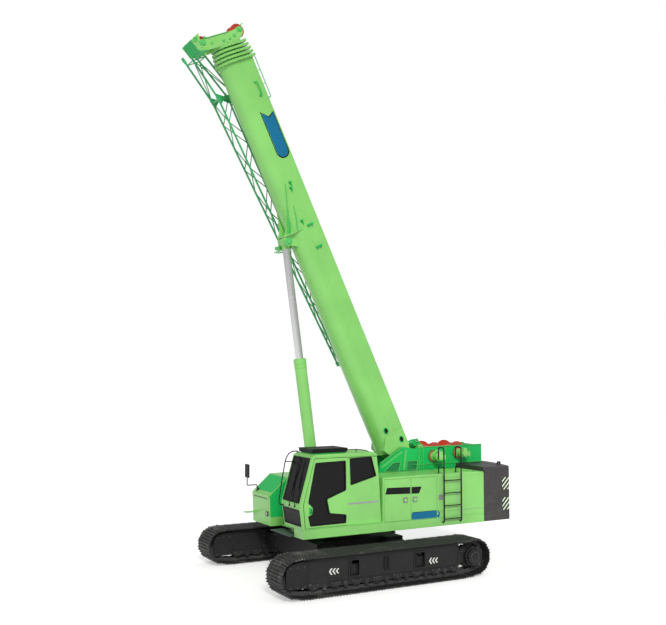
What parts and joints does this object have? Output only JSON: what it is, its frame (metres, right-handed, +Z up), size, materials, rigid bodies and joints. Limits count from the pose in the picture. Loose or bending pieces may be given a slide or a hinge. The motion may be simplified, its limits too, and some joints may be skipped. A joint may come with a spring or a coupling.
{
  "type": "crawler crane with a telescopic boom",
  "caption": "Tracked crane with a raised telescopic boom, a lattice jib stowed along it, a glazed cab, winches and a rounded counterweight.",
  "frame": {"origin": "middle of the tracks on the ground, under the slew axis", "axes": "+X forward, the way the cab faces; +Y to the left, the cab side; +Z up"},
  "size_m": [7.5915, 4.326, 11.7421],
  "materials": {
    "track": "worn black steel",
    "frame": "painted dark, satin",
    "roller": "painted dark, worn",
    "body": "painted green, gloss",
    "boom": "painted green, gloss",
    "jib": "painted green, gloss",
    "dark": "painted dark grey, satin",
    "glass": "tinted, polished",
    "red": "painted red, satin",
    "rod": "hard chromed",
    "steel": "machined",
    "black": "matt",
    "fabric": "woven"
  },
  "bodies": {
    "undercarriage": {"track_left": "track", "track_right": "track", "idlers": "roller", "sprockets": "roller", "final_drives": "frame", "bottom_rollers": "roller", "carrier_rollers": "roller", "track_frame_left": "frame", "track_frame_right": "frame", "carbody": "frame", "cross_beams": "frame", "slew_ring": "steel"},
    "superstructure": {"deck": "body", "boom_cheeks": "body", "step_plate": "dark", "cab_shell": "body", "cab_glass": "glass", "cab_seat": "fabric", "cab_console": "black", "roof_guard": "dark", "guard_hoop": "dark", "right_box": "body", "mirror": "black", "housing": "body", "power_block": "dark", "counterweight": "dark", "winch_frame": "body", "winch_motors": "body", "valve_block": "dark", "ladder": "body", "foot_pin": "steel", "door_rail": "steel"},
    "cab_door": {"cab_door": "body", "door_glass": "glass"},
    "service_door_front": {"service_door_front": "body"},
    "service_door_rear": {"service_door_rear": "body"},
    "winch_drum_front": {"winch_drum_front": "red"},
    "winch_drum_rear": {"winch_drum_rear": "red"},
    "boom_base": {"boom_base": "boom", "fly_jib": "jib", "jib_brackets": "boom"},
    "boom_section_2": {"boom_section_2": "boom"},
    "boom_section_3": {"boom_section_3": "boom"},
    "boom_section_4": {"boom_section_4": "boom"},
    "boom_section_5": {"boom_section_5": "boom", "boom_head": "boom"},
    "head_sheaves": {"head_sheaves": "red"},
    "guide_sheaves": {"guide_sheaves": "red"},
    "luff_rod": {"luff_rod": "rod"},
    "luff_barrel": {"luff_barrel": "boom"}
  },
  "joints": [
    {"name": "slew", "type": "hinge", "parent": "undercarriage", "child": "superstructure", "pos_m": [0, 0, 0.9], "axis": [0, 0, 1], "continuous": true},
    {"name": "boom_luff", "type": "hinge", "parent": "superstructure", "child": "boom_base", "pos_m": [-1.6, 0, 2.35], "axis": [0, -1, 0], "range_deg": [-64.6, 15.4]},
    {"name": "luff_rod_pivot", "type": "hinge", "parent": "boom_base", "child": "luff_rod", "pos_m": [1.34103, 0, 7.14499], "axis": [0, -1, 0], "range_deg": [-8.5, 2.2]},
    {"name": "luff_barrel_slide", "type": "slide", "parent": "luff_rod", "child": "luff_barrel", "axis": [-0.1388, 0, -0.9903], "range_m": [-2.36, 0.57]},
    {"name": "tele_2", "type": "slide", "parent": "boom_base", "child": "boom_section_2", "axis": [0.4289, 0, 0.9033], "range_m": [0, 6.7]},
    {"name": "tele_3", "type": "slide", "parent": "boom_section_2", "child": "boom_section_3", "axis": [0.4289, 0, 0.9033], "range_m": [0, 6.7]},
    {"name": "tele_4", "type": "slide", "parent": "boom_section_3", "child": "boom_section_4", "axis": [0.4289, 0, 0.9033], "range_m": [0, 6.7]},
    {"name": "tele_5", "type": "slide", "parent": "boom_section_4", "child": "boom_section_5", "axis": [0.4289, 0, 0.9033], "range_m": [0, 6.7]},
    {"name": "head_sheave_spin", "type": "hinge", "parent": "boom_section_5", "child": "head_sheaves", "pos_m": [3.38753, 0, 11.14482], "axis": [0, -1, 0], "continuous": true},
    {"name": "guide_sheave_spin", "type": "hinge", "parent": "boom_section_5", "child": "guide_sheaves", "pos_m": [2.56801, 0, 11.58709], "axis": [0, -1, 0], "continuous": true},
    {"name": "winch_front_spin", "type": "hinge", "parent": "superstructure", "child": "winch_drum_front", "pos_m": [-2.4, 0, 2.44], "axis": [0, -1, 0], "continuous": true},
    {"name": "winch_rear_spin", "type": "hinge", "parent": "superstructure", "child": "winch_drum_rear", "pos_m": [-3.05, 0, 2.44], "axis": [0, -1, 0], "continuous": true},
    {"name": "cab_door_slide", "type": "slide", "parent": "superstructure", "child": "cab_door", "axis": [-1, 0, 0], "range_m": [0, 0.72]},
    {"name": "service_door_front_hinge", "type": "hinge", "parent": "superstructure", "child": "service_door_front", "pos_m": [-0.333, 1.358, 1.612], "axis": [0, 0, -1], "range_deg": [0, 110]},
    {"name": "service_door_rear_hinge", "type": "hinge", "parent": "superstructure", "child": "service_door_rear", "pos_m": [-1.679, 1.358, 1.612], "axis": [0, 0, 1], "range_deg": [0, 110]}
  ],
  "couplings": [
    {"joint": "luff_rod_pivot", "follows": "boom_luff", "ratio": 0.128},
    {"joint": "luff_barrel_slide", "follows": "boom_luff", "m_per_rad": 2.08},
    {"joint": "tele_3", "follows": "tele_2", "ratio": 1},
    {"joint": "tele_4", "follows": "tele_2", "ratio": 1},
    {"joint": "tele_5", "follows": "tele_2", "ratio": 1}
  ]
}
